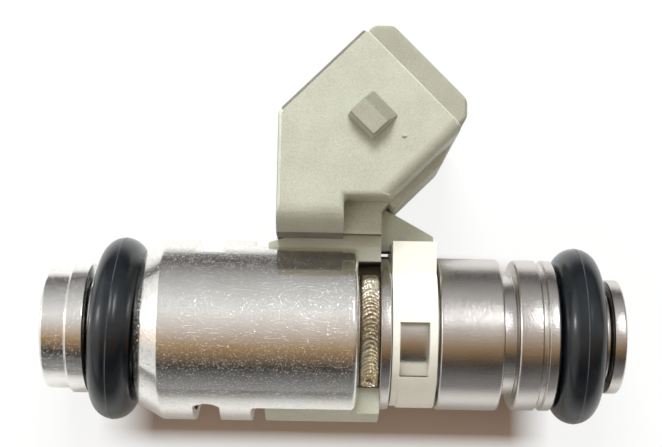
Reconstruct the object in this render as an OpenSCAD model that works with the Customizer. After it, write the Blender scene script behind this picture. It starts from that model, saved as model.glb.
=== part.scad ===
// Short port fuel injector: a solenoid valve between two O-rings, with a side connector.
// +X runs along the injector from the nozzle face to the fuel inlet, +Y points to the
// connector and +Z is square to the plane of symmetry. The origin is the nozzle face centre.

/* [Length along the axis] */
// Nozzle face to fuel inlet face
total_len = 46.85; // [46.6:0.05:47.2]
// Front face of the steel housing
housing_x = 7.6; // [7.4:0.1:7.8]
// Rear edge of the steel housing
housing_end_x = 25.3; // [25.2:0.1:25.4]
// Front face of the clip barrel
barrel_x = 31.8; // [31.7:0.05:32]
// Front wall of the inlet seal groove
inlet_groove_x = 41.35; // [41.2:0.05:41.5]

/* [Diameters] */
// Nozzle lip that enters the manifold
nozzle_lip_d = 10; // [9.6:0.1:10.2]
// Steel housing
housing_d = 14.8; // [14.6:0.1:15]
// Clip barrel and rear flange
barrel_d = 12.5; // [12.2:0.1:12.6]
// Inlet lip that enters the rail
inlet_lip_d = 9.4; // [9:0.1:9.6]

/* [Seals] */
// Section of both O-rings
seal_section = 3.53; // [3.45:0.01:3.6]
// Outside diameter of the nozzle O-ring
nozzle_seal_d = 15; // [14.8:0.1:15.1]
// Outside diameter of the inlet O-ring
inlet_seal_d = 14.5; // [14.4:0.1:14.7]

/* [Connector] */
// Width of the shroud across the symmetry plane
shroud_w = 16.2; // [15.8:0.1:16.6]
// Angle of the plug direction above the axis
plug_angle = 45; // [44:1:46]
// Socket width between its side walls
socket_w = 13; // [12.6:0.2:13.2]
// Socket height between its upper and lower walls
socket_h = 7.6; // [7.2:0.1:7.8]
// Pitch of the two blades
blade_pitch = 5; // [4.8:0.1:5.2]

/* [Valve] */
// Opening travel of the armature
valve_lift = 0.1; // [0.06:0.01:0.12]
// Ball diameter
ball_d = 3; // [2.9:0.05:3]
// Armature diameter
armature_d = 7.04; // [6.9:0.02:7.06]

/* [Hidden] */
$fn = 96;

steel = "#b9bab8";
dark_steel = "#8c8e90";
greige = "#b9b7a4";
ivory = "#f1efe0";
copper = "#b4632d";
brass = "#c2a55a";
black_rubber = "#1e2224";
amber = "#6e4b2a";
slate = "#5b7d8c";
white = "#d8d8d0";

// Fits and small gaps
sliding_gap = 0.04;
work_gap = valve_lift + 0.05;
seat_gap = 0.01;

// Nozzle end
lip_end_x = 1.98;
shoulder_x = 2.18;
nozzle_groove_x = 3.52;
shoulder_r = 5.35;
nozzle_groove_r = nozzle_seal_d / 2 - seal_section;
nozzle_seal_x = 5.82;
body_end_x = 10.8;
seat_r = 3.3;
seat_end_x = 3.9;
fuel_passage_r = 2.4;
sleeve_seat_x = 8.8;

// Valve
ball_r = ball_d / 2;
disc_x = 0.8;
disc_t = 0.25;
spray_circle_r = 0.35;
spray_hole_r = 0.11;
seat_x = disc_x + disc_t;
throat_r = 0.6;
throat_x = seat_x + 0.4;
ball_x = throat_x - throat_r + ball_r * sqrt(2) + seat_gap;
guide_r = ball_r + 0.03;
guide_flute_r = 0.42;
needle_r = 1.1;
needle_bore_r = 0.7;
needle_ball_gap = 0.03;
cross_hole_r = 0.4;
cross_hole_x = 3;
cross_hole_step = 1.2;
armature_x = 14.2;
armature_end_x = 20.4;
armature_step_x = 16.4;
spring_pocket_r = 1.75;
pole_x = armature_end_x + work_gap;

// Magnet
sleeve_r = 4.3;
sleeve_bore_r = armature_d / 2 + sliding_gap;
sleeve_end_x = 23;
bobbin_x = 11.05;
bobbin_end_x = 23.55;
bobbin_flange_r = 5.9;
bobbin_wall = 0.45;
flange_t = 0.9;
winding_r = 5.7;
washer_x = 23.75;
washer_end_x = 25.15;
neck_fill_x = washer_end_x;
washer_flat = 5.4;
housing_r = housing_d / 2;
housing_bore_r = 6.6;
housing_wall_x = 9.65;
housing_front_r = 6.1;
housing_edge = 0.3;
cone_end_x = 9.75;

// Windows in the housing
window_w = 7.6;
window_arch = 0.42;
foot_window_w = 6.5;
small_window_x = 12.25;
small_window_end_x = 14.4;
large_window_x = 16.88;
window_round = 0.7;
cover_flat = 6.1;
cover_margin = 0.6;

// Inlet tube
neck_r = 5.55;
tube_bore_r = 3.5;
pole_end_x = 29;
tube_passage_r = 2.9;
collar_x = 27.1;
collar_end_x = 27.95;
collar_r = 6.3;
ring_neck_r = 4.95;
barrel_r = barrel_d / 2;
rear_r = barrel_r - 0.05;
clip_groove_x = 36.9;
clip_groove_end_x = 38.02;
clip_groove_r = 4.9;
mark_groove_x = 39.85;
mark_groove_end_x = 40.45;
mark_depth = 0.2;
mark_slope = 0.15;
inlet_groove_r = inlet_seal_d / 2 - seal_section;
inlet_seal_x = 43.26;
lip_x = 45.8;
filter_bore_x = 36;
filter_bore_r = 3.1;

// Fuel filter
filter_x = 37;
filter_mesh_x = 37.8;
filter_mesh_end_x = 45;
filter_rib_end_x = 43.5;
filter_end_x = 46;
filter_collar_x = 44;
filter_collar_end_x = 46.2;
filter_frame_r = 2.2;
filter_mesh_r = 1.6;
filter_mesh_t = 0.15;
filter_rib_w = 0.7;
filter_rib_h = 0.5;

// Spring and adjuster
spring_r = 1.35;
wire_r = 0.18;
spring_gap = 0.02;
spring_turns = 7;
adjuster_x = 26.2;
adjuster_end_x = 33;
adjuster_r = 1.9;
adjuster_bore_r = 1.1;

weld_angle = 106;
weld_x = 26.3;
weld_w = 1.6;
weld_h = 0.4;

// Locating ring
ring_x = 28.05;
ring_end_x = 31.6;
ring_r = 6.15;
ring_bore_r = 5.02;
ring_top_y = 7.2;
ring_key_w = 8.4;
ring_window_y = -3.65;
ring_window_end_y = 0.6;
ring_window_x = 28.62;
ring_window_end_x = 30.96;
ring_slit = 0.8;

// Connector, measured along the plug direction (s) and square to it (n)
plug_s = 36.65;
rim_s = 34.8;
rim_step = 0.3;
rim_chamfer = 1.1;
upper_n = 1.2;
lower_n = 12.3;
socket_s = 26.6;
socket_n = (upper_n + lower_n) / 2;
column_x = 18.7;
column_end_x = 27.1;
column_y = 7.4;
neck_w = 9;
undercut_inset = 0.7;
undercut_rise = 2.3;
foot_x = 18;
foot_rise_x = 20.2;
foot_end_x = 27.15;
foot_top_y = 7.7;
foot_toe_y = 7;
tail_y = 5.9;
strip_x = 18;
strip_w = 7.5;
pocket_x = 24;
pocket_y = 10.3;
pad_w = 7;
pad_n = 12.95;
pad_s = 26.9;
pad_flat_s = 32.4;
pad_end_s = 34.2;
gusset_w = 2.2;
gusset_x = 26.3;
gusset_top_y = 10.2;
gusset_tip_x = 31.55;
gusset_tip_y = 7.96;
gusset_low_y = 6.65;
gusset_gap = 0.05;
latch_n = 5.25;
latch_end_n = 8.15;
latch_s = 28.8;
latch_top_s = 30.6;
latch_end_s = 31.95;
latch_h = 1.25;
latch_lean = 0.15;

// Blades
blade_w = 2.8;
blade_t = 0.8;
blade_tip_s = 33.9;
blade_root_s = 22.6;
shank_w = 1.2;
shank_x = 21.9;
shank_foot_y = bobbin_flange_r + 0.4;
shank_top_y = 10.6;
blade_chamfer = 0.7;
lead_r = 0.15;

// Point in the symmetry plane from the plug direction (s) and the normal (n)
function plug_point(s, n) = [
    s * cos(plug_angle) + n * sin(plug_angle),
    s * sin(plug_angle) - n * cos(plug_angle)];

// Solid turned about the injector axis from [radius, x] points
module turned(profile) {
    rotate([0, 90, 0])
        rotate_extrude()
            polygon(profile);
}

// Round bar or hole along the injector axis
module bar(r, x0, x1) {
    translate([x0, 0, 0])
        rotate([0, 90, 0])
            cylinder(r = r, h = x1 - x0);
}

// Plate in the symmetry plane, w wide across it
module plate(points, w) {
    translate([0, 0, -w / 2])
        linear_extrude(w)
            polygon(points);
}

// Helical wire about the injector axis between two x positions
module helix(r, wire, x0, x1, turns, steps = 18, sides = 8) {
    rings = turns * steps;
    points = [for (i = [0:rings]) for (k = [0:sides - 1])
        let (a = 360 * i / steps, b = 360 * k / sides, rr = r + wire * cos(b))
            [x0 + (x1 - x0) * i / rings + wire * sin(b), rr * cos(a), rr * sin(a)]];
    side_faces = [for (i = [0:rings - 1]) for (k = [0:sides - 1])
        let (a = i * sides + k, b = i * sides + (k + 1) % sides)
            [a, b, b + sides, a + sides]];
    caps = [[for (k = [sides - 1:-1:0]) k], [for (k = [0:sides - 1]) rings * sides + k]];
    polyhedron(points, concat(side_faces, caps));
}

// Outline of the small window seen along Y, its two long ends bowed outward in short flats
module small_window_outline() {
    half = (small_window_end_x - small_window_x) / 2;
    bow = [for (i = [-3:3]) [small_window_x + half + half * i / 3,
        window_w / 2 + window_arch * (1 - i * i / 9)]];
    polygon(concat(bow, [for (i = [6:-1:0]) [bow[i][0], -bow[i][1]]]));
}

// Outline of a large window seen along Y, w wide, open to the rear edge
module large_window_outline(w) {
    translate([large_window_x + window_round, -w / 2])
        square([housing_end_x - large_window_x, w]);
    translate([large_window_x, window_round - w / 2])
        square([housing_end_x - large_window_x, w - 2 * window_round]);
    for (side = [-1, 1])
        translate([large_window_x + window_round, side * (w / 2 - window_round)])
            circle(window_round);
}

// Outline cut through the wall on one side of the axis (side = 1 is the connector side)
module through_wall(side) {
    translate([0, side * 10, 0]) rotate([90, 0, 0]) linear_extrude(14, center = true) children();
}

// Turned steel nozzle body with the front seal groove
module valve_body() {
    color(steel) difference() {
        turned([[0, 0], [nozzle_lip_d / 2, 0], [nozzle_lip_d / 2, lip_end_x], [shoulder_r, shoulder_x],
            [shoulder_r, nozzle_groove_x], [nozzle_groove_r, nozzle_groove_x],
            [nozzle_groove_r, housing_x], [shoulder_r, housing_x], [shoulder_r, body_end_x],
            [0, body_end_x]]);
        bar(seat_r, -1, seat_end_x);
        bar(fuel_passage_r, seat_end_x - 1, sleeve_seat_x + 1);
        bar(sleeve_r, sleeve_seat_x, body_end_x + 1);
    }
}

// Thin disc with four spray holes
module orifice_disc() {
    color(dark_steel) difference() {
        bar(seat_r, disc_x, seat_x);
        for (a = [45:90:315])
            rotate([a, 0, 0]) translate([0, spray_circle_r, 0])
                bar(spray_hole_r, disc_x - 1, seat_x + 1);
    }
}

// Seat with the sealing cone and the grooved guide for the ball
module valve_seat() {
    seat_cone_x = throat_x + guide_r - throat_r;
    color(dark_steel) difference() {
        bar(seat_r, seat_x, seat_end_x);
        turned([[0, seat_x - 1], [throat_r, seat_x - 1], [throat_r, throat_x], [guide_r, seat_cone_x],
            [guide_r, seat_end_x + 1], [0, seat_end_x + 1]]);
        for (a = [0:60:300])
            rotate([a, 0, 0]) translate([0, guide_r, 0])
                bar(guide_flute_r, seat_cone_x + 0.1, seat_end_x + 1);
    }
}

// Ball that closes the seat
module valve_ball() {
    color(steel) translate([ball_x, 0, 0]) sphere(ball_r);
}

// Tube that carries the ball and feeds fuel to it, its end tapered to sit on the ball
module needle_tube() {
    outer_x = ball_x + sqrt(ball_r * ball_r - needle_r * needle_r) + needle_ball_gap;
    inner_x = ball_x + sqrt(ball_r * ball_r - needle_bore_r * needle_bore_r) + needle_ball_gap;
    color(steel) difference() {
        turned([[needle_bore_r, inner_x], [needle_r, outer_x], [needle_r, armature_step_x],
            [needle_bore_r, armature_step_x]]);
        for (i = [0, 1])
            translate([ball_x + cross_hole_x + cross_hole_step * i, 0, 0]) rotate([90 * i, 0, 0])
                cylinder(r = cross_hole_r, h = 6, center = true);
    }
}

// Magnetic plunger that pulls the needle open
module armature() {
    color(dark_steel) difference() {
        bar(armature_d / 2, armature_x, armature_end_x);
        bar(needle_r, armature_x - 1, armature_step_x);
        bar(spring_pocket_r, armature_step_x, armature_end_x + 1);
    }
}

// Thin non-magnetic tube that guides the armature
module guide_sleeve() {
    color(steel) difference() {
        bar(sleeve_r, sleeve_seat_x, sleeve_end_x);
        bar(sleeve_bore_r, sleeve_seat_x - 1, sleeve_end_x + 1);
    }
}

// Fixed core that attracts the armature
module pole_core() {
    color(dark_steel) difference() {
        turned([[0, pole_x], [sleeve_bore_r, pole_x], [sleeve_bore_r, sleeve_end_x],
            [tube_bore_r, sleeve_end_x], [tube_bore_r, pole_end_x], [0, pole_end_x]]);
        bar(adjuster_r, pole_x - 1, pole_end_x + 1);
    }
}

// Spring that closes the valve
module return_spring() {
    color(steel) helix(spring_r, wire_r, armature_step_x + wire_r + spring_gap,
        adjuster_x - wire_r, spring_turns);
}

// Pressed tube that sets the spring load
module spring_adjuster() {
    color(steel) difference() {
        bar(adjuster_r, adjuster_x, adjuster_end_x);
        bar(adjuster_bore_r, adjuster_x - 1, adjuster_end_x + 1);
    }
}

// Turned inlet tube: neck, collar, clip barrel, rear flange, seal groove and inlet lip
module inlet_tube() {
    mark_r = rear_r - mark_depth;
    color(steel) difference() {
        turned([[0, sleeve_end_x], [sleeve_r, sleeve_end_x], [sleeve_r, washer_end_x],
            [neck_r, washer_end_x], [neck_r, collar_x], [collar_r, collar_x],
            [collar_r, collar_end_x], [ring_neck_r, collar_end_x], [ring_neck_r, barrel_x],
            [barrel_r, barrel_x], [barrel_r, clip_groove_x], [clip_groove_r, clip_groove_x],
            [clip_groove_r, clip_groove_end_x], [rear_r, clip_groove_end_x],
            [rear_r, mark_groove_x], [mark_r, mark_groove_x + mark_slope],
            [mark_r, mark_groove_end_x - mark_slope], [rear_r, mark_groove_end_x],
            [rear_r, inlet_groove_x], [inlet_groove_r, inlet_groove_x], [inlet_groove_r, lip_x],
            [inlet_lip_d / 2, lip_x], [inlet_lip_d / 2, total_len], [0, total_len]]);
        bar(tube_bore_r, sleeve_end_x - 1, pole_end_x);
        bar(tube_passage_r, pole_end_x - 1, total_len);
        bar(filter_bore_r, filter_bore_x, total_len + 1);
    }
}

// Steel washer that closes the magnetic circuit, flat where the plastic passes
module yoke_washer() {
    color(dark_steel) difference() {
        bar(housing_bore_r, washer_x, washer_end_x);
        bar(sleeve_r, washer_x - 1, washer_end_x + 1);
        for (side = [-1, 1])
            translate([washer_x - 1, side * (washer_flat + 2) - 2, -housing_bore_r])
                cube([washer_end_x - washer_x + 2, 4, housing_bore_r * 2]);
    }
}

// Plated steel housing, windowed on the connector side and opposite
module housing_shell() {
    color(steel) difference() {
        turned([[shoulder_r, housing_x], [housing_front_r, housing_x],
            [housing_front_r + 0.25, housing_x + 0.2], [housing_r - 0.12, cone_end_x - 0.3],
            [housing_r, cone_end_x], [housing_r, housing_end_x - housing_edge],
            [housing_r - housing_edge, housing_end_x], [housing_bore_r, housing_end_x],
            [housing_bore_r, housing_wall_x], [shoulder_r, housing_wall_x]]);
        for (side = [-1, 1]) through_wall(side) small_window_outline();
        through_wall(-1) large_window_outline(window_w);
        through_wall(1) large_window_outline(foot_window_w);
    }
}

// Plastic reel under the winding
module bobbin() {
    color(amber) turned([[sleeve_r, bobbin_x], [bobbin_flange_r, bobbin_x],
        [bobbin_flange_r, bobbin_x + flange_t], [sleeve_r + bobbin_wall, bobbin_x + flange_t],
        [sleeve_r + bobbin_wall, bobbin_end_x - flange_t], [bobbin_flange_r, bobbin_end_x - flange_t],
        [bobbin_flange_r, bobbin_end_x], [sleeve_r, bobbin_end_x]]);
}

// Copper winding
module coil_winding() {
    color(copper) difference() {
        bar(winding_r, bobbin_x + flange_t, bobbin_end_x - flange_t);
        bar(sleeve_r + bobbin_wall, bobbin_x, bobbin_end_x);
    }
}

// One lead wire from the winding to its terminal
module coil_lead(side) {
    translate([shank_x + shank_w / 2, winding_r - lead_r, side * blade_pitch / 2])
        rotate([-90, 0, 0]) cylinder(r = lead_r, h = shank_foot_y - winding_r + lead_r);
}

// Both lead wires
module coil_leads() {
    color(copper) for (side = [-1, 1]) coil_lead(side);
}

// Inner seal between the nozzle body and the bobbin
module sleeve_seal() {
    color(black_rubber) turned([[sleeve_r, body_end_x], [shoulder_r - 0.2, body_end_x],
        [shoulder_r - 0.2, bobbin_x], [sleeve_r, bobbin_x]]);
}

// One flat blade: shank from the bobbin, then the contact along the plug direction
module blade(side) {
    low_n = socket_n + blade_w / 2;
    high_n = socket_n - blade_w / 2;
    translate([0, 0, side * blade_pitch / 2])
        plate([[shank_x, shank_foot_y], [shank_x + shank_w, shank_foot_y],
            [shank_x + shank_w, shank_top_y - shank_w], plug_point(blade_root_s + shank_w / 2, low_n),
            plug_point(blade_tip_s - blade_chamfer, low_n),
            plug_point(blade_tip_s, low_n - blade_chamfer),
            plug_point(blade_tip_s, high_n + blade_chamfer),
            plug_point(blade_tip_s - blade_chamfer, high_n),
            plug_point(blade_root_s, high_n), [shank_x, shank_top_y]], blade_t);
}

module terminal_a() {
    color(brass) blade(-1);
}

module terminal_b() {
    color(brass) blade(1);
}

// Shroud block outline, from the column foot round to the mouth
module shroud_outline() {
    polygon([[column_x, column_y], [column_x, column_x - upper_n * sqrt(2)],
        plug_point(rim_s, upper_n), plug_point(rim_s, lower_n),
        [column_end_x, column_end_x - lower_n * sqrt(2)], [column_end_x, foot_top_y],
        [pocket_x, foot_top_y], [pocket_x, column_y]]);
}

// Rim round the mouth, a step below the shroud faces, with its two corners cut
module mouth_rim() {
    top_n = upper_n + rim_step;
    low_n = lower_n - rim_step;
    plate([plug_point(rim_s - 1, top_n), plug_point(plug_s - rim_chamfer, top_n),
        plug_point(plug_s, top_n + rim_chamfer), plug_point(plug_s, low_n - rim_chamfer),
        plug_point(plug_s - rim_chamfer, low_n), plug_point(rim_s - 1, low_n)],
        shroud_w - 2 * rim_step);
}

// Tiny cube at a corner of the latch wedge
module latch_corner(s, n, z) {
    translate(concat(plug_point(s, n), z)) cube([0.02, 0.02, 0.02], center = true);
}

// Latch wedge that the plug's spring clip snaps over
module latch() {
    base_z = shroud_w / 2 - 0.05;
    top_z = shroud_w / 2 + latch_h;
    hull()
        for (n = [latch_n, latch_end_n]) {
            latch_corner(latch_s, n, base_z);
            latch_corner(latch_end_s, n, base_z);
            latch_corner(latch_s + latch_lean, n, top_z);
            latch_corner(latch_top_s, n, top_z);
        }
}

// Raised pad along the underside of the shroud
module underside_pad() {
    plate([plug_point(pad_s, lower_n - 1), plug_point(pad_s, lower_n), plug_point(pad_s, pad_n),
        plug_point(pad_flat_s, pad_n), plug_point(pad_end_s, lower_n),
        plug_point(pad_end_s, lower_n - 1)], pad_w);
}

// Plastic sleeve round the winding, cut flat behind the windows, one shot with the shroud
module coil_cover() {
    difference() {
        turned([[shoulder_r, housing_wall_x], [housing_bore_r, housing_wall_x],
            [housing_bore_r, washer_x], [bobbin_flange_r, washer_x], [bobbin_flange_r, body_end_x],
            [shoulder_r, body_end_x]]);
        for (side = [-1, 1])
            translate([small_window_x - cover_margin, side * (cover_flat + 1) - 1, -housing_bore_r])
                cube([strip_x + 0.6 - small_window_x, 2, 2 * housing_bore_r]);
    }
}

// Plastic that runs out through one housing window, past the washer and along the neck
module window_filling(side, w, x, top_y) {
    intersection() {
        difference() {
            union() {
                bar(housing_r, x, foot_end_x);
                if (side > 0) plate([[x, cover_flat], [x, foot_toe_y], [foot_rise_x, top_y],
                    [foot_end_x, top_y], [foot_end_x, cover_flat]], w);
            }
            bar(bobbin_flange_r, x - 1, washer_x);
            translate([washer_x - 1, -washer_flat, -10])
                cube([neck_fill_x - washer_x + 1, 2 * washer_flat, 20]);
            bar(neck_r, washer_x, foot_end_x + 1);
            translate([housing_end_x, -tail_y, -10]) cube([4, 2 * tail_y, 20]);
            bar(collar_r, collar_x, foot_end_x + 1);
            for (edge = [-1, 1])
                translate([housing_end_x, -10, edge * (foot_window_w / 2 + 1) - 1]) cube([4, 20, 2]);
        }
        translate([x, side * 10 - 10 + side * 4, -w / 2]) cube([foot_end_x - x, 20, w]);
    }
}

// Thin web between the column and the locating ring
module gusset() {
    seat_y = ring_top_y + gusset_gap;
    plate([[gusset_x, gusset_top_y + 0.5], [column_end_x + 0.4, gusset_top_y],
        [gusset_tip_x, gusset_tip_y], [gusset_tip_x, seat_y], [ring_x, seat_y],
        [ring_x, gusset_low_y], [gusset_x, gusset_low_y]], gusset_w);
}

// Space below the wide shroud face where it rounds in to the foot, on one side
module column_undercut(side) {
    in_z = shroud_w / 2 - neck_w / 2 - undercut_inset;
    translate([column_x - 1, column_y, side * (shroud_w / 2)]) rotate([90, 0, 90]) linear_extrude(20)
        polygon(concat([[-1, -side * in_z], [-1, side], [undercut_rise, side]],
            [for (a = [0:10:90]) [undercut_rise * (1 - sin(a)), -side * in_z * (1 - cos(a))]]));
}

// Overmoulded connector with its shroud, column, foot and coil cover
module connector_moulding() {
    color(greige) difference() {
        union() {
            coil_cover();
            window_filling(1, foot_window_w, foot_x, foot_top_y);
            window_filling(-1, strip_w, strip_x, 0);
            difference() {
                translate([0, 0, -shroud_w / 2]) linear_extrude(shroud_w) shroud_outline();
                for (side = [-1, 1]) {
                    translate([pocket_x, 0, side * (neck_w / 2 + 10) - 10]) cube([10, pocket_y, 20]);
                    column_undercut(side);
                }
            }
            mouth_rim();
            underside_pad();
            gusset();
            latch();
            mirror([0, 0, 1]) latch();
        }
        plate([plug_point(socket_s, socket_n - socket_h / 2),
            plug_point(plug_s + 1, socket_n - socket_h / 2),
            plug_point(plug_s + 1, socket_n + socket_h / 2),
            plug_point(socket_s, socket_n + socket_h / 2)],
            socket_w);
        for (side = [-1, 1]) {
            blade(side);
            coil_lead(side);
        }
    }
}

// Two weld seams on the neck, one on each side of the plastic
module weld_beads() {
    color(brass) for (side = [0, 180])
        rotate([side - weld_angle / 2, 0, 0]) rotate([0, 90, 0])
            rotate_extrude(angle = weld_angle)
                polygon([for (a = [0:20:180])
                    [neck_r + weld_h * sin(a), weld_x - weld_w / 2 * cos(a)]]);
}

// Snap-on ring that keys the injector to the rail clip
module locating_ring() {
    color(ivory) difference() {
        union() {
            bar(ring_r, ring_x, ring_end_x);
            translate([ring_x, 0, -ring_key_w / 2])
                cube([ring_end_x - ring_x, ring_top_y, ring_key_w]);
        }
        bar(ring_bore_r, ring_x - 1, ring_end_x + 1);
        translate([ring_window_x, ring_window_y, -10])
            cube([ring_window_end_x - ring_window_x, ring_window_end_y - ring_window_y, 20]);
        translate([ring_x - 1, -10, -ring_slit / 2]) cube([6, 10, ring_slit]);
    }
}

// O-ring from its centre position and outside diameter
module o_ring(x, d) {
    r = seal_section / 2;
    color(black_rubber) translate([x, 0, 0]) rotate([0, 90, 0])
        rotate_extrude() translate([d / 2 - r, 0]) circle(r, $fn = 48);
}

module nozzle_o_ring() {
    o_ring(nozzle_seal_x, nozzle_seal_d);
}

module inlet_o_ring() {
    o_ring(inlet_seal_x, inlet_seal_d);
}

// Brass ring that holds the fuel filter in the inlet
module filter_collar() {
    color(brass) difference() {
        bar(filter_bore_r, filter_collar_x, filter_collar_end_x);
        bar(filter_frame_r, filter_collar_x - 1, filter_collar_end_x + 1);
    }
}

// Plastic cage of the fuel filter: open ring, closed tip and four ribs
module filter_frame() {
    color(slate) {
        difference() {
            bar(filter_frame_r, filter_rib_end_x - 0.3, filter_end_x);
            bar(filter_mesh_r, filter_rib_end_x - 1, filter_end_x + 1);
        }
        bar(filter_frame_r, filter_x, filter_mesh_x);
        for (a = [0:90:270])
            rotate([a, 0, 0]) translate([filter_mesh_x - 0.3, filter_mesh_r + 0.05, -filter_rib_w / 2])
                cube([filter_rib_end_x - filter_mesh_x + 0.3, filter_rib_h, filter_rib_w]);
    }
}

// Fine mesh sleeve inside the cage
module filter_mesh() {
    color(white) difference() {
        bar(filter_mesh_r, filter_mesh_x, filter_mesh_end_x);
        bar(filter_mesh_r - filter_mesh_t, filter_mesh_x - 1, filter_mesh_end_x + 1);
    }
}

valve_body();
orifice_disc();
valve_seat();
valve_ball();
needle_tube();
armature();
guide_sleeve();
pole_core();
return_spring();
spring_adjuster();
inlet_tube();
yoke_washer();
housing_shell();
bobbin();
coil_winding();
coil_leads();
sleeve_seal();
connector_moulding();
terminal_a();
terminal_b();
weld_beads();
locating_ring();
nozzle_o_ring();
inlet_o_ring();
filter_collar();
filter_frame();
filter_mesh();
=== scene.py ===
"""Looks of a short port fuel injector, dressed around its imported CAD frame."""
import logging
import math
from collections.abc import Callable
from dataclasses import dataclass, field
from enum import Enum

import bpy
from mathutils import Matrix, Vector


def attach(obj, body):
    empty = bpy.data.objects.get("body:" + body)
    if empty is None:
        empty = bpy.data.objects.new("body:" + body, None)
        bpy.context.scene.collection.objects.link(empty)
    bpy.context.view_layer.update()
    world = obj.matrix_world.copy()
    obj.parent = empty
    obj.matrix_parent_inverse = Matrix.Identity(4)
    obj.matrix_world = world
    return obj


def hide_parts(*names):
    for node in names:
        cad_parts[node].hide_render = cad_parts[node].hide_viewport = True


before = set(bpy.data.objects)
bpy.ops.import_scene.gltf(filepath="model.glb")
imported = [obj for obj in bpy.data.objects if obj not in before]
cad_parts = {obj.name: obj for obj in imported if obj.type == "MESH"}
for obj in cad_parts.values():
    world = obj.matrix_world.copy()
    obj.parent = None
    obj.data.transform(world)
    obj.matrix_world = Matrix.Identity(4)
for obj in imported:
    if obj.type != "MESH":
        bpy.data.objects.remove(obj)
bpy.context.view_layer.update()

BODY = "injector_body"
SEGMENTS = 192
Point = tuple[float, float]
Piece = bpy.types.Object
Tree = bpy.types.NodeTree
Socket = bpy.types.NodeSocket
log = logging.getLogger("injector")


class Side(Enum):
    """The two sides of the symmetry plane, as the sign of Z."""

    UPPER = 1
    LOWER = -1


class Cut(Enum):
    """Boolean operations between two solids."""

    REMOVE = "DIFFERENCE"
    ADD = "UNION"
    KEEP_COMMON = "INTERSECT"


def mm(value: float) -> float:
    """Millimetres to metres."""
    return value * 0.001


def linear(hex_code: str) -> tuple[float, float, float, float]:
    """Turn an sRGB hex value into a linear colour with alpha 1.

    Args:
        hex_code: Six hex digits, such as "BEBCAA".

    Returns:
        Linear red, green, blue and alpha.
    """
    parts = [int(hex_code[i:i + 2], 16) / 255 for i in (0, 2, 4)]
    return (*(c / 12.92 if c <= 0.04045 else ((c + 0.055) / 1.055) ** 2.4 for c in parts), 1.0)


# ---------------------------------------------------------------- modelling tools


def clean_bench() -> None:
    """Leave edit mode and select nothing."""
    if bpy.context.object and bpy.context.object.mode != "OBJECT":
        bpy.ops.object.mode_set(mode="OBJECT")
    bpy.ops.object.select_all(action="DESELECT")


def pick(obj: Piece) -> None:
    """Make one object the only selected one and the active one."""
    clean_bench()
    obj.select_set(True)
    bpy.context.view_layer.objects.active = obj


def settle(obj: Piece) -> None:
    """Put the object's place and turn into its mesh."""
    pick(obj)
    bpy.ops.object.transform_apply(location=True, rotation=True, scale=True)


def rounded_path(corners: list[tuple[float, ...]], steps: int = 5) -> list[Point]:
    """Replace each corner that has a radius by an arc.

    Args:
        corners: (a, b) or (a, b, radius) of a closed outline, in millimetres.
        steps: Chords in each arc.

    Returns:
        The outline's points.
    """
    path = []
    for i, corner in enumerate(corners):
        here = Vector(corner[:2])
        if len(corner) < 3 or corner[2] <= 0:
            path.append(tuple(here))
            continue
        back = (Vector(corners[i - 1][:2]) - here).normalized()
        ahead = (Vector(corners[(i + 1) % len(corners)][:2]) - here).normalized()
        half = back.angle(ahead) / 2
        centre = here + (back + ahead).normalized() * corner[2] / math.sin(half)
        start = here + back * corner[2] / math.tan(half) - centre
        turn = (here + ahead * corner[2] / math.tan(half) - centre).angle_signed(start)
        for k in range(steps + 1):
            arm = start.copy()
            arm.rotate(Matrix.Rotation(turn * k / steps, 2))
            path.append(tuple(centre + arm))
    return path


def turned(name: str, corners: list[tuple[float, ...]], segments: int = SEGMENTS) -> Piece:
    """Turn a closed profile about the injector axis.

    Args:
        name: Name of the new object.
        corners: (x, radius) or (x, radius, edge radius) round the profile, in millimetres.
        segments: Chords round the axis.

    Returns:
        The turned solid.
    """
    path = rounded_path(corners)
    clean_bench()
    x, r = path[0]
    bpy.ops.mesh.primitive_circle_add(vertices=segments, radius=mm(r), fill_type="NOTHING",
                                      location=(mm(x), 0, 0), rotation=(0, math.pi / 2, 0))
    obj = bpy.context.object
    obj.name = name
    settle(obj)
    bpy.ops.object.mode_set(mode="EDIT")
    bpy.ops.mesh.select_all(action="SELECT")
    for next_x, next_r in path[1:] + path[:1]:
        bpy.ops.mesh.extrude_region_move(TRANSFORM_OT_translate={"value": (mm(next_x - x), 0, 0)})
        bpy.ops.transform.resize(value=(1, next_r / r, next_r / r), center_override=(mm(next_x), 0, 0))
        x, r = next_x, next_r
    tidy_edit_mesh()
    return obj


def tidy_edit_mesh() -> None:
    """Merge doubles, turn faces outward and leave edit mode."""
    bpy.ops.mesh.select_all(action="SELECT")
    bpy.ops.mesh.remove_doubles(threshold=mm(0.0005))
    bpy.ops.mesh.normals_make_consistent(inside=False)
    bpy.ops.object.mode_set(mode="OBJECT")


def prism(name: str, corners: list[tuple[float, ...]], low: float, high: float) -> Piece:
    """Extrude an outline in the symmetry plane across it.

    Args:
        name: Name of the new object.
        corners: (x, y) or (x, y, radius) round the outline, in millimetres.
        low: Lower Z of the prism, in millimetres.
        high: Upper Z of the prism, in millimetres.

    Returns:
        The prism.
    """
    path = rounded_path(corners)
    clean_bench()
    bpy.ops.mesh.primitive_plane_add(size=mm(1), location=(mm(path[0][0]), mm(path[0][1]), mm(low)))
    obj = bpy.context.object
    obj.name = name
    settle(obj)
    bpy.ops.object.mode_set(mode="EDIT")
    bpy.ops.mesh.select_all(action="SELECT")
    bpy.ops.mesh.merge(type="CENTER")
    for before, after in zip(path, path[1:]):
        step = (mm(after[0] - before[0]), mm(after[1] - before[1]), 0)
        bpy.ops.mesh.extrude_region_move(TRANSFORM_OT_translate={"value": step})
    bpy.ops.mesh.select_all(action="SELECT")
    bpy.ops.mesh.edge_face_add()
    bpy.ops.mesh.extrude_region_move(TRANSFORM_OT_translate={"value": (0, 0, mm(high - low))})
    tidy_edit_mesh()
    return obj


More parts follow.
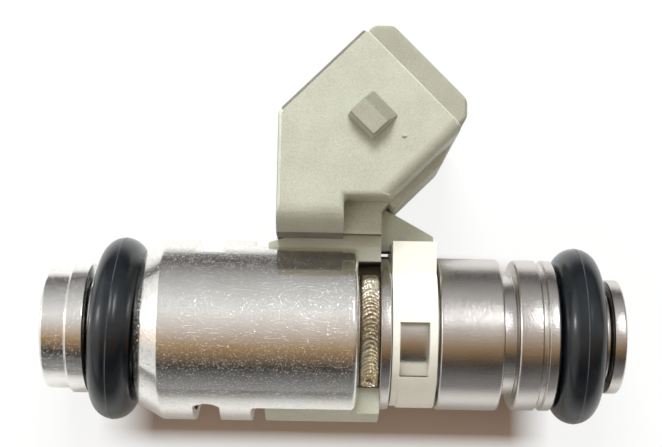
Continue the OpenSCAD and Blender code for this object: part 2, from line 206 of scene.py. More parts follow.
def block(name: str, low: tuple[float, float, float], high: tuple[float, float, float]) -> Piece:
    """Add a box between two corners given in millimetres."""
    clean_bench()
    middle = [mm((a + b) / 2) for a, b in zip(low, high)]
    size = [mm(b - a) for a, b in zip(low, high)]
    bpy.ops.mesh.primitive_cube_add(size=1, location=middle, scale=size)
    obj = bpy.context.object
    obj.name = name
    settle(obj)
    return obj


def stand_up(obj: Piece) -> Piece:
    """Turn a prism made in the XY plane so that its outline lies in the XZ plane."""
    obj.rotation_euler = (math.pi / 2, 0, 0)
    settle(obj)
    return obj


def combine(obj: Piece, tool: Piece, how: Cut) -> None:
    """Apply a boolean of the tool to the object and remove the tool."""
    pick(obj)
    mod = obj.modifiers.new("boolean", "BOOLEAN")
    mod.operation = how.value
    mod.object = tool
    mod.solver = "EXACT"
    bpy.ops.object.modifier_apply(modifier=mod.name)
    bpy.data.objects.remove(tool)


def bevel_by_weight(obj: Piece, width: float, rule: Callable[[Vector, Vector], float],
                    segments: int = 4) -> None:
    """Round edges by different widths in one bevel.

    Args:
        obj: Object to work on.
        width: Bevel width of an edge whose weight is 1, in millimetres.
        rule: Takes an edge's two end points in millimetres and gives its weight, 0 to 1.
        segments: Chords in the bevel.
    """
    pick(obj)
    mesh = obj.data
    weights = mesh.attributes.new("bevel_weight_edge", "FLOAT", "EDGE")
    for edge, weight in zip(mesh.edges, weights.data):
        a, b = (mesh.vertices[i].co * 1000 for i in edge.vertices)
        weight.value = rule(a, b)
    mod = obj.modifiers.new("edges", "BEVEL")
    mod.width = mm(width)
    mod.segments = segments
    mod.limit_method = "WEIGHT"
    mod.use_clamp_overlap = False
    bpy.ops.object.modifier_apply(modifier=mod.name)
    left = mesh.attributes.get("bevel_weight_edge")
    if left:
        mesh.attributes.remove(left)


def soften(obj: Piece, width: float, segments: int = 2, angle: float = 35) -> None:
    """Round every edge sharper than an angle with a bevel modifier."""
    pick(obj)
    mod = obj.modifiers.new("edges", "BEVEL")
    mod.width = mm(width)
    mod.segments = segments
    mod.limit_method = "ANGLE"
    mod.angle_limit = math.radians(angle)
    mod.use_clamp_overlap = True
    mod.miter_outer = "MITER_ARC"
    bpy.ops.object.modifier_apply(modifier=mod.name)


def close_up(obj: Piece) -> None:
    """Merge the near doubles that a boolean left and fill any face it lost."""
    pick(obj)
    bpy.ops.object.mode_set(mode="EDIT")
    bpy.ops.mesh.select_all(action="SELECT")
    bpy.ops.mesh.remove_doubles(threshold=mm(0.002))
    bpy.ops.mesh.select_all(action="DESELECT")
    bpy.ops.mesh.select_mode(type="EDGE")
    bpy.ops.mesh.select_non_manifold(extend=False, use_wire=False, use_boundary=True, use_multi_face=False,
                                     use_non_contiguous=False, use_verts=False)
    bpy.ops.mesh.fill_holes(sides=0)
    bpy.ops.mesh.select_mode(type="VERT")
    tidy_edit_mesh()


def smooth(obj: Piece, angle: float = 28) -> None:
    """Shade smooth below an angle given in degrees, with large flat faces kept flat."""
    pick(obj)
    bpy.ops.object.shade_smooth_by_angle(angle=math.radians(angle))
    mod = obj.modifiers.new("normals", "WEIGHTED_NORMAL")
    mod.keep_sharp = True
    mod.weight = 90
    bpy.ops.object.modifier_apply(modifier=mod.name)


def place(obj: Piece, finish: "Finish", body: str, nodes: tuple[str, ...]) -> None:
    """Dress a finished piece and tie it to its body and CAD nodes.

    Args:
        obj: The finished piece.
        finish: Finish that it takes.
        body: Body that it moves with.
        nodes: CAD nodes that it stands for.
    """
    obj.data.materials.clear()
    obj.data.materials.append(finish.material())
    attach(obj, body)
    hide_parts(*nodes)
    log.info("%s: %d faces, for %s", obj.name, len(obj.data.polygons), ", ".join(nodes))


# ---------------------------------------------------------------- finishes


def add_node(tree: Tree, kind: str, settings: dict | None = None,
             inputs: dict | None = None) -> bpy.types.Node:
    """Add a shader node.

    Args:
        tree: Node tree of the material or world.
        kind: Blender's node type.
        settings: Attribute values.
        inputs: Socket values by name or index, or output sockets to link from.

    Returns:
        The node.
    """
    node = tree.nodes.new(kind)
    for name, value in (settings or {}).items():
        setattr(node, name, value)
    for socket, value in (inputs or {}).items():
        if isinstance(value, Socket):
            tree.links.new(value, node.inputs[socket])
        else:
            node.inputs[socket].default_value = value
    return node


def set_ramp(node: bpy.types.Node, stops: list[tuple[float, tuple]]) -> None:
    """Fill a colour ramp with (position, colour) stops."""
    ramp = node.color_ramp
    while len(ramp.elements) > 1:
        ramp.elements.remove(ramp.elements[-1])
    ramp.elements[0].position, ramp.elements[0].color = stops[0]
    for position, colour in stops[1:]:
        ramp.elements.new(position).color = colour


@dataclass(frozen=True)
class Finish:
    """A material that is built once and shared."""

    name: str
    slot: str

    def material(self) -> bpy.types.Material:
        """Return the material, building it on first use."""
        found = bpy.data.materials.get(self.name)
        if found:
            return found
        made = bpy.data.materials.new(self.name)
        made.use_nodes = True
        tree = made.node_tree
        tree.nodes.clear()
        out = add_node(tree, "ShaderNodeOutputMaterial")
        tree.links.new(self.shader(tree), out.inputs["Surface"])
        return made

    def shader(self, tree: Tree) -> Socket:
        """Build the shader nodes and return the final output."""
        raise NotImplementedError

    @staticmethod
    def coords(tree: Tree) -> Socket:
        """Object coordinates, in metres."""
        return add_node(tree, "ShaderNodeTexCoord").outputs["Object"]

    @staticmethod
    def noise(tree: Tree, vector: Socket, size_mm: float, detail: float = 3,
              rough: float = 0.6) -> Socket:
        """Noise whose main feature has a size in millimetres."""
        node = add_node(tree, "ShaderNodeTexNoise", {}, {
            "Vector": vector, "Scale": 1000 / size_mm, "Detail": detail, "Roughness": rough})
        return node.outputs["Fac"]

    @staticmethod
    def span(tree: Tree, value: Socket, low: float, high: float,
             to_low: float, to_high: float) -> Socket:
        """Map a value from one range to another, clamped."""
        node = add_node(tree, "ShaderNodeMapRange", {"clamp": True}, {
            "Value": value, "From Min": low, "From Max": high, "To Min": to_low, "To Max": to_high})
        return node.outputs["Result"]

    @staticmethod
    def blend(tree: Tree, factor: Socket, one: tuple,
              two: tuple) -> Socket:
        """Mix two colours or colour sockets by a factor."""
        node = add_node(tree, "ShaderNodeMix", {"data_type": "RGBA"}, {0: factor, 6: one, 7: two})
        return node.outputs[2]

    @staticmethod
    def bump(tree: Tree, height: Socket, depth_mm: float,
             under: Socket | None = None) -> Socket:
        """Bump from a height of 0 to 1 with a depth in millimetres."""
        inputs = {"Height": height, "Distance": mm(depth_mm)}
        if under:
            inputs["Normal"] = under
        return add_node(tree, "ShaderNodeBump", {}, inputs).outputs["Normal"]


@dataclass(frozen=True)
class PlatedSteel(Finish):
    """Bright nickel-plated steel, tumbled: mirror-like with fine dings that sparkle."""

    name: str = "nickel_plated_steel"
    slot: str = "plated_steel"
    colour: str = "F8F8F6"
    shade: str = "E6E3DC"
    roughness: float = 0.11
    ding_mm: float = 0.26
    ding_depth_mm: float = 0.009
    peel_mm: float = 1.6
    peel_depth_mm: float = 0.004

    def shader(self, tree: Tree) -> Socket:
        """Metal with round dings in patches, fine pits, sparse scratches and cloudy roughness."""
        place_on = self.coords(tree)
        cloud = self.noise(tree, place_on, 3.0, 4)
        dings = self.span(tree, self.noise(tree, place_on, self.ding_mm, 2, 0.6), 0.62, 0.72, 0, 1)
        pits = self.span(tree, self.noise(tree, place_on, self.ding_mm * 0.4, 1), 0.63, 0.72, 0, 1)
        normal = self.bump(tree, self.noise(tree, place_on, self.peel_mm, 1), self.peel_depth_mm)
        normal = self.bump(tree, dings, self.ding_depth_mm, normal)
        normal = self.bump(tree, pits, self.ding_depth_mm * 1.1, normal)
        for turn in (0.5, 2.2):
            stretched = add_node(tree, "ShaderNodeMapping", {}, {
                "Vector": place_on, "Rotation": (turn, 0.4, turn), "Scale": (1, 24, 24)}).outputs["Vector"]
            scratch = self.span(tree, self.noise(tree, stretched, 1.6, 1), 0.7, 0.73, 0, 1)
            normal = self.bump(tree, scratch, 0.003, normal)
        return add_node(tree, "ShaderNodeBsdfPrincipled", {}, {
            "Base Color": self.blend(tree, cloud, linear(self.shade), linear(self.colour)),
            "Metallic": 1.0,
            "Roughness": self.span(tree, cloud, 0.3, 0.7, self.roughness - 0.04, self.roughness + 0.07),
            "Normal": normal}).outputs["BSDF"]


@dataclass(frozen=True)
class TurnedSteel(Finish):
    """Stainless steel turned on a lathe: satin, with fine grooves round the axis."""

    name: str = "turned_stainless_steel"
    slot: str = "turned_steel"
    colour: str = "D9D6D2"
    roughness: float = 0.2
    groove_mm: float = 0.07
    groove_depth_mm: float = 0.0012
    tint_x: float = 26.3
    tint_half: Point = (0.7, 1.0)

    def shader(self, tree: Tree) -> Socket:
        """Metal with lathe grooves that follow X, a slight speckle and brown heat tint by the weld."""
        place_on = self.coords(tree)
        along = add_node(tree, "ShaderNodeMapping", {}, {
            "Vector": place_on, "Scale": (1, 0.02, 0.02)}).outputs["Vector"]
        grooves = self.noise(tree, along, self.groove_mm, 2)
        speckle = self.span(tree, self.noise(tree, place_on, 0.14, 2, 0.7), 0.5, 0.7, 0, 1)
        cloud = self.noise(tree, place_on, 2.5, 3)
        x = add_node(tree, "ShaderNodeSeparateXYZ", {}, {"Vector": place_on}).outputs["X"]
        off = add_node(tree, "ShaderNodeMath", {"operation": "SUBTRACT"}, {0: x, 1: mm(self.tint_x)})
        away = add_node(tree, "ShaderNodeMath", {"operation": "ABSOLUTE"}, {0: off.outputs[0]}).outputs[0]
        near, far = self.tint_half
        tint = self.span(tree, away, mm(near), mm(far), 0.4, 0)
        plain = self.blend(tree, cloud, linear("C9C4BF"), linear(self.colour))
        normal = self.bump(tree, grooves, self.groove_depth_mm)
        normal = self.bump(tree, speckle, 0.005, normal)
        return add_node(tree, "ShaderNodeBsdfPrincipled", {}, {
            "Base Color": self.blend(tree, tint, plain, linear("9A8876")),
            "Metallic": 1.0,
            "Roughness": self.span(tree, cloud, 0.3, 0.7, self.roughness - 0.03, self.roughness + 0.05),
            "Normal": normal}).outputs["BSDF"]


@dataclass(frozen=True)
class FilledNylon(Finish):
    """Glass-filled polyamide as moulded: matte grey-beige with a fine grain and faint flow marks."""

    name: str = "glass_filled_nylon"
    slot: str = "connector_plastic"
    colour: str = "BFC0AE"
    shade: str = "B7B8A6"
    roughness: float = 0.46
    grain_mm: float = 0.13

    def shader(self, tree: Tree) -> Socket:
        """Dielectric with a grainy surface and a slow change of tone."""
        place_on = self.coords(tree)
        cloud = self.noise(tree, place_on, 2.2, 4)
        grain = self.noise(tree, place_on, self.grain_mm, 3, 0.7)
        tone = self.blend(tree, self.span(tree, cloud, 0.35, 0.65, 0, 1), linear(self.shade),
                          linear(self.colour))
        fleck = self.span(tree, grain, 0.55, 0.72, 0, 0.38)
        pit = self.span(tree, grain, 0.45, 0.28, 0, 0.5)
        flecked = self.blend(tree, fleck, tone, linear("E6E7DA"))
        normal = self.bump(tree, cloud, 0.012)
        normal = self.bump(tree, grain, 0.014, normal)
        return add_node(tree, "ShaderNodeBsdfPrincipled", {}, {
            "Base Color": self.blend(tree, pit, flecked, linear("8C8D7B")),
            "Roughness": self.span(tree, grain, 0.3, 0.7, self.roughness - 0.08, self.roughness + 0.12),
            "IOR": 1.53,
            "Normal": normal}).outputs["BSDF"]


@dataclass(frozen=True)
class PlainPlastic(Finish):
    """Unfilled moulded plastic: smooth satin skin with a little light under it."""

    name: str = "acetal"
    slot: str = "ivory_plastic"
    colour: str = "FAF9EF"
    roughness: float = 0.34
    depth: float = 0.25

    def shader(self, tree: Tree) -> Socket:
        """Dielectric with soft mottling."""
        place_on = self.coords(tree)
        cloud = self.noise(tree, place_on, 1.4, 3)
        red, green, blue, alpha = linear(self.colour)
        darker = (red * 0.88, green * 0.87, blue * 0.82, alpha)
        return add_node(tree, "ShaderNodeBsdfPrincipled", {}, {
            "Base Color": self.blend(tree, cloud, darker, linear(self.colour)),
            "Roughness": self.span(tree, cloud, 0.3, 0.7, self.roughness - 0.05, self.roughness + 0.08),
            "IOR": 1.48,
            "Subsurface Weight": self.depth,
            "Subsurface Radius": (mm(0.5), mm(0.45), mm(0.3)),
            "Normal": self.bump(tree, cloud, 0.006)}).outputs["BSDF"]


@dataclass(frozen=True)
class SealRubber(Finish):
    """Black fluoro rubber: smooth moulded skin with a faint oily sheen."""

    name: str = "fluoro_rubber"
    slot: str = "seal_rubber"
    colour: str = "10151A"
    roughness: float = 0.2

    def shader(self, tree: Tree) -> Socket:
        """Dark dielectric with smears of a lighter bloom."""
        place_on = self.coords(tree)
        cloud = self.noise(tree, place_on, 2.6, 4)
        specks = self.noise(tree, place_on, 0.3, 2)
        return add_node(tree, "ShaderNodeBsdfPrincipled", {}, {
            "Base Color": self.blend(tree, self.span(tree, cloud, 0.4, 0.7, 0, 1), linear(self.colour),
                                     linear("1A2024")),
            "Roughness": self.span(tree, cloud, 0.3, 0.7, self.roughness - 0.05, self.roughness + 0.1),
            "IOR": 1.5,
            "Normal": self.bump(tree, specks, 0.003)}).outputs["BSDF"]


@dataclass(frozen=True)
class WeldMetal(Finish):
    """Laser-welded stainless steel: straw-coloured oxide on bright ripples, browner at the rim."""

    name: str = "heat_tinted_weld"
    slot: str = "weld_metal"
    centre_x: float = 26.3
    half_width: float = 0.84

    def shader(self, tree: Tree) -> Socket:
        """Metal whose tint goes from straw to brown across the seam."""
        place_on = self.coords(tree)
        x = add_node(tree, "ShaderNodeSeparateXYZ", {}, {"Vector": place_on}).outputs["X"]
        off = add_node(tree, "ShaderNodeMath", {"operation": "SUBTRACT"}, {0: x, 1: mm(self.centre_x)})
        away = add_node(tree, "ShaderNodeMath", {"operation": "ABSOLUTE"}, {0: off.outputs[0]})
        rim = self.span(tree, away.outputs[0], mm(self.half_width * 0.72), mm(self.half_width), 0, 1)
        cloud = self.noise(tree, place_on, 0.5, 3)
        straw = self.blend(tree, cloud, linear("C6BC9C"), linear("FAF6E8"))
        return add_node(tree, "ShaderNodeBsdfPrincipled", {}, {
            "Base Color": self.blend(tree, rim, straw, linear("6B5034")),
            "Metallic": 1.0,
            "Roughness": 0.24,
            "Normal": self.bump(tree, self.noise(tree, place_on, 0.12, 2), 0.004)}).outputs["BSDF"]


@dataclass(frozen=True)
class SoftMetal(Finish):
    """Plain metal part such as stamped brass, tinned blades or enamelled copper wire."""

    name: str = "stamped_brass"
    slot: str = "terminal_metal"
    colour: str = "C9A24E"
    roughness: float = 0.28

    def shader(self, tree: Tree) -> Socket:
        """Metal with light handling marks."""
        place_on = self.coords(tree)
        cloud = self.noise(tree, place_on, 0.8, 3)
        red, green, blue, alpha = linear(self.colour)
        darker = (red * 0.75, green * 0.72, blue * 0.68, alpha)
        return add_node(tree, "ShaderNodeBsdfPrincipled", {}, {
            "Base Color": self.blend(tree, cloud, darker, linear(self.colour)),
            "Metallic": 1.0,
            "Roughness": self.span(tree, cloud, 0.3, 0.7, self.roughness - 0.06, self.roughness + 0.1),
            "Normal": self.bump(tree, self.noise(tree, place_on, 0.1, 2), 0.002)}).outputs["BSDF"]


PLATED = PlatedSteel()
TURNED = TurnedSteel()
NYLON = FilledNylon()
IVORY = PlainPlastic()
RUBBER = SealRubber()
# Lighter nylon on the mouth and front bevels: a painted highlight.
EDGE_HIGHLIGHT = FilledNylon("nylon_edge_painted_highlight", "connector_plastic", "E2E2D4", "D0D0C0", 0.34)
# Darker nylon on the mouth rim. On the flat latch top it is painted shade.
RIM_AND_LATCH_TOP = FilledNylon("darker_nylon_rim_and_latch_top", "connector_plastic", "A7A694", "9F9E8C", 0.5)
# Still darker nylon on the latch ramp: painted shade.
RAMP_SHADE = FilledNylon("nylon_latch_ramp_painted_shade", "connector_plastic", "959482", "8B8A79", 0.5)
# Darker nylon as painted shade, on the downward faces under the column and along the upper bevel of the
# front face.
PAINTED_SHADE = FilledNylon("nylon_painted_shade", "connector_plastic", "7F7D75", "72706A", 0.55)
FLASH = SealRubber("rubber_parting_line", "seal_rubber", "4C5052", 0.4)
WELD = WeldMetal()
BRASS = SoftMetal()
TINNED = SoftMetal("tinned_brass", "terminal_metal", "CFCBC0", 0.3)
COPPER = SoftMetal("enamelled_copper", "copper", "B4632D", 0.3)
BOBBIN = PlainPlastic("bobbin_nylon", "bobbin_plastic", "6E4B2A", 0.4, 0.0)
CAGE = PlainPlastic("filter_cage_nylon", "filter_plastic", "5B7D8C", 0.4, 0.0)
MESH = PlainPlastic("filter_cloth", "filter_mesh", "D8D8D0", 0.7, 0.0)


# ---------------------------------------------------------------- steel parts


@dataclass
class NozzleEnd:
    """Turned nozzle body: lip, bevel, shoulder and the front seal groove (millimetres)."""

    lip_r: float = 5.0
    lip_end: float = 1.98
    shoulder_r: float = 5.35
    shoulder: float = 2.18
    groove: float = 3.52
    groove_r: float = 3.97
    rear: float = 10.8
    seat_r: float = 3.3
    passage_r: float = 2.4
    sleeve_r: float = 4.3

    def build(self) -> Piece:
        """Turn the body with small edge radii."""
        body = turned("nozzle_body", [
            (0, self.seat_r + 0.35), (0, self.lip_r, 0.28), (self.lip_end, self.lip_r, 0.05),
            (self.shoulder, self.shoulder_r, 0.08), (self.groove, self.shoulder_r, 0.12),
            (self.groove, self.groove_r, 0.2), (7.6, self.groove_r), (7.6, self.shoulder_r),
            (self.rear, self.shoulder_r), (self.rear, self.sleeve_r), (8.8, self.sleeve_r),
            (8.8, self.passage_r), (3.9, self.passage_r), (3.9, self.seat_r), (0.35, self.seat_r)])
        smooth(body)
        place(body, PLATED, BODY, ("valve_body",))
        return body


@dataclass
class Housing:
    """Drawn steel housing with see-through windows on two sides (millimetres)."""

    front: float = 7.6
    rear: float = 25.3
    radius: float = 7.4
    bore_r: float = 6.6
    small_window: Point = (12.25, 14.4)
    large_window: float = 16.88
    window_half: float = 3.8
    foot_window_half: float = 3.25
    arch: float = 0.42
    window_corner: float = 0.5

    def window(self, side: int, half: float, start: float, end: float, arch: float,
               corner: float) -> Piece:
        """Make the tool that cuts one window.

        Args:
            side: 1 on the connector side, -1 opposite.
            half: Half width of the window across the axis.
            start: Front edge along the axis.
            end: Rear edge along the axis.
            arch: How far the long edges bow outward.
            corner: Radius of the corners.

        Returns:
            The cutter.
        """
        if arch:
            middle, reach = (start + end) / 2, (end - start) / 2
            bow = [(middle + reach * i / 6, half + arch * (1 - i * i / 36)) for i in range(-6, 7)]
            corners = bow + [(x, -z) for x, z in reversed(bow)]
        else:
            corners = [(start, -half, corner), (end, -half), (end, half), (start, half, corner)]
        low, high = sorted((-side * 3, -side * 12))
        return stand_up(prism("window_tool", corners, low, high))

    def build(self) -> Piece:
        """Turn the shell, cut its windows and round their edges."""
        shell = turned("housing", [
            (self.front, 5.35), (self.front, 6.28, 0.25), (9.62, self.radius - 0.02, 0.6),
            (9.9, self.radius), (12.0, self.radius), (14.7, self.radius), (16.8, self.radius),
            (self.rear, self.radius, 0.45), (self.rear, self.bore_r, 0.1), (9.65, self.bore_r),
            (9.65, 5.35)])
        for side in (1, -1):
            small = self.window(side, self.window_half, *self.small_window, self.arch, 0)
            combine(shell, small, Cut.REMOVE)
        for side, half in ((-1, self.window_half), (1, self.foot_window_half)):
            large = self.window(side, half, self.large_window, self.rear + 1, 0, self.window_corner)
            combine(shell, large, Cut.REMOVE)
        soften(shell, 0.09, 2, 50)
        close_up(shell)
        smooth(shell, 30)
        place(shell, PLATED, BODY, ("housing_shell",))
        return shell


@dataclass
class InletTube:
    """Turned inlet tube from the neck to the inlet lip (millimetres)."""

    neck_r: float = 5.55
    collar: Point = (27.1, 27.95)
    collar_r: float = 6.3
    ring_neck_r: float = 4.95
    barrel: Point = (31.8, 36.9)
    barrel_r: float = 6.25
    clip_end: float = 38.02
    clip_r: float = 4.9
    flange_r: float = 6.2
    mark: Point = (39.85, 40.45)
    mark_depth: float = 0.22
    groove: float = 41.35
    groove_r: float = 3.72
    lip: Point = (45.8, 46.85)
    lip_r: float = 4.7
    bore_r: float = 3.1

    def build(self) -> Piece:
        """Turn the tube with its small edge radii."""
        tube = turned("inlet_tube", [
            (23, 3.5), (23, 4.3), (25.15, 4.3), (25.15, self.neck_r), (self.collar[0], self.neck_r, 0.15),
            (self.collar[0], self.collar_r, 0.12), (self.collar[1], self.collar_r, 0.14),
            (self.collar[1], self.ring_neck_r), (self.barrel[0], self.ring_neck_r),
            (self.barrel[0], self.barrel_r, 0.22), (self.barrel[1], self.barrel_r, 0.25),
            (self.barrel[1], self.clip_r, 0.12), (self.clip_end, self.clip_r, 0.12),
            (self.clip_end, self.flange_r, 0.3), (self.mark[0], self.flange_r, 0.05),
            (self.mark[0] + 0.15, self.flange_r - self.mark_depth, 0.05),
            (self.mark[1] - 0.15, self.flange_r - self.mark_depth, 0.05),
            (self.mark[1], self.flange_r, 0.05), (self.groove, self.flange_r, 0.3),
            (self.groove, self.groove_r, 0.2), (self.lip[0], self.groove_r, 0.2),
            (self.lip[0], self.lip_r, 0.14), (self.lip[1], self.lip_r, 0.22),
            (self.lip[1], self.bore_r + 0.3), (self.lip[1] - 0.3, self.bore_r), (36, self.bore_r),
            (36, 2.9),
            (29, 2.9), (29, 3.5)])
        smooth(tube)
        place(tube, TURNED, BODY, ("inlet_tube",))
        return tube


@dataclass
class WeldSeams:
    """Two rippled weld seams on the neck (millimetres)."""

    base_r: float = 5.53
    centre_x: float = 26.3
    half_width: float = 0.84
    rise: float = 0.36
    half_angle: float = 53
    ripple_pitch: float = 0.29
    ripple_height: float = 0.13
    steps: int = 460

    def height(self, along: float, across: float) -> float:
        """Height of the seam's surface above the neck.

        Args:
            along: Distance along the seam from its middle.
            across: Place across the seam, -1 to 1.

        Returns:
            Height in millimetres.
        """
        reach = math.radians(self.half_angle) * self.base_r
        end = min(1.0, max(0.0, (reach - abs(along)) / 0.8))
        dome = math.sqrt(max(0.0, 1 - abs(across) ** 3)) * math.sqrt(end * (2 - end))
        crater = math.exp(-((along + reach - 0.75) ** 2 + (across * self.half_width) ** 2) / 0.1)
        phase = (along + 0.62 * across ** 2 + 0.05 * math.sin(3.1 * along)) / self.ripple_pitch
        tooth = (phase % 1.0) ** 2.2
        fade = min(1.0, max(0.15, (reach - along - 0.5) / 0.8))
        lumps = 0.03 * math.sin(7.3 * along + 5 * across) * math.sin(11 * across - 2.1 * along)
        rippled = self.rise + fade * (self.ripple_height * (tooth - 0.5) + lumps)
        return dome * (rippled - 0.3 * crater) + 0.02

    def build(self) -> list[Piece]:
        """Model one seam from a grid wrapped round the neck, then copy it to the other side."""
        clean_bench()
        across_steps = 22
        bpy.ops.mesh.primitive_grid_add(x_subdivisions=across_steps, y_subdivisions=self.steps, size=2)
        seam = bpy.context.object
        seam.name = "weld_seam_upper"
        reach = math.radians(self.half_angle) * self.base_r
        for vertex in seam.data.vertices:
            across, part, _ = vertex.co
            along = part * reach
            r = self.base_r + self.height(along, across)
            angle = along / self.base_r
            wander = 0.05 * math.sin(1.9 * along) * (1 - across ** 2)
            vertex.co = (mm(self.centre_x + across * self.half_width + wander),
                         mm(r * math.sin(angle)), mm(r * math.cos(angle)))
        pick(seam)
        mod = seam.modifiers.new("thickness", "SOLIDIFY")
        mod.thickness = mm(0.1)
        mod.offset = -1
        bpy.ops.object.modifier_apply(modifier=mod.name)
        bpy.ops.object.mode_set(mode="EDIT")
        tidy_edit_mesh()
        smooth(seam, 60)
        pick(seam)
        bpy.ops.object.duplicate(linked=False)
        other = bpy.context.object
        other.name = "weld_seam_lower"
        other.rotation_euler = (math.pi, 0, 0)
        settle(other)
        place(seam, WELD, BODY, ("weld_beads",))
        place(other, WELD, BODY, ("weld_beads",))
        return [seam, other]


# ---------------------------------------------------------------- plastic and rubber parts


@dataclass
class LocatingRing:
    """Ivory snap ring with a flat-topped key and a window on each side (millimetres)."""

    front: float = 28.05
    rear: float = 31.6
    radius: float = 6.15
    bore_r: float = 5.02
    key_top: float = 7.2
    key_low: float = 3.4
    key_half: float = 4.2
    window: tuple[float, float, float, float] = (28.62, 30.96, -3.65, 0.6)
    slit: float = 0.8
    step: float = 0.14

    def build(self) -> Piece:
        """Turn the ring, add the key, cut windows and slit, and soften the edges."""
        ring = turned("locating_ring", [
            (self.front, self.bore_r), (self.front, self.radius - self.step),
            (self.front + 0.5, self.radius - self.step), (self.front + 0.56, self.radius),
            (self.rear, self.radius), (self.rear, self.bore_r)])
        key = block("key", (self.front + 0.02, self.key_low, -self.key_half),
                    (self.rear - 0.02, self.key_top, self.key_half))
        hole = turned("hole", [(self.front - 1, 0.5), (self.front - 1, self.bore_r + 0.05),
                               (self.rear + 1, self.bore_r + 0.05), (self.rear + 1, 0.5)])
        combine(key, hole, Cut.REMOVE)
        combine(ring, key, Cut.ADD)
        x0, x1, y0, y1 = self.window
        combine(ring, block("window_tool", (x0, y0, -10), (x1, y1, 10)), Cut.REMOVE)
        combine(ring, block("slit_tool", (self.front - 1, -10, -self.slit / 2),
                            (self.rear + 1, -4, self.slit / 2)), Cut.REMOVE)
        soften(ring, 0.14, 3, 40)
        close_up(ring)
        smooth(ring, 30)
        place(ring, IVORY, BODY, ("locating_ring",))
        return ring


@dataclass
class ORing:
    """Moulded O-ring with its parting line (millimetres, degrees)."""

    name: str
    node: str
    centre_x: float
    outside_d: float
    section: float = 3.53
    lean: float = 0.0
    flash: float = 0.04

    def build(self) -> Piece:
        """Spin the round section with its parting ridge, and lean the ring in its groove."""
        minor, crown = self.section / 2, self.outside_d / 2
        start = math.asin(self.flash / minor)
        step = (math.pi - start) / 30
        angles = [start + i * step for i in range(61)]
        section = [(minor * math.sin(a), crown - minor + minor * math.cos(a)) for a in angles]
        ring = turned(self.name, [*section, (0, crown + self.flash / 2)])
        ridge = [face.index for face in ring.data.polygons
                 if math.hypot(face.center.y, face.center.z) > mm(crown + 0.002)]
        ring.rotation_euler = (0, 0, math.radians(self.lean))
        ring.location = (mm(self.centre_x), 0, 0)
        settle(ring)
        smooth(ring, 40)
        place(ring, RUBBER, BODY, (self.node,))
        ring.data.materials.append(FLASH.material())
        for index in ridge:
            ring.data.polygons[index].material_index = 1
        return ring


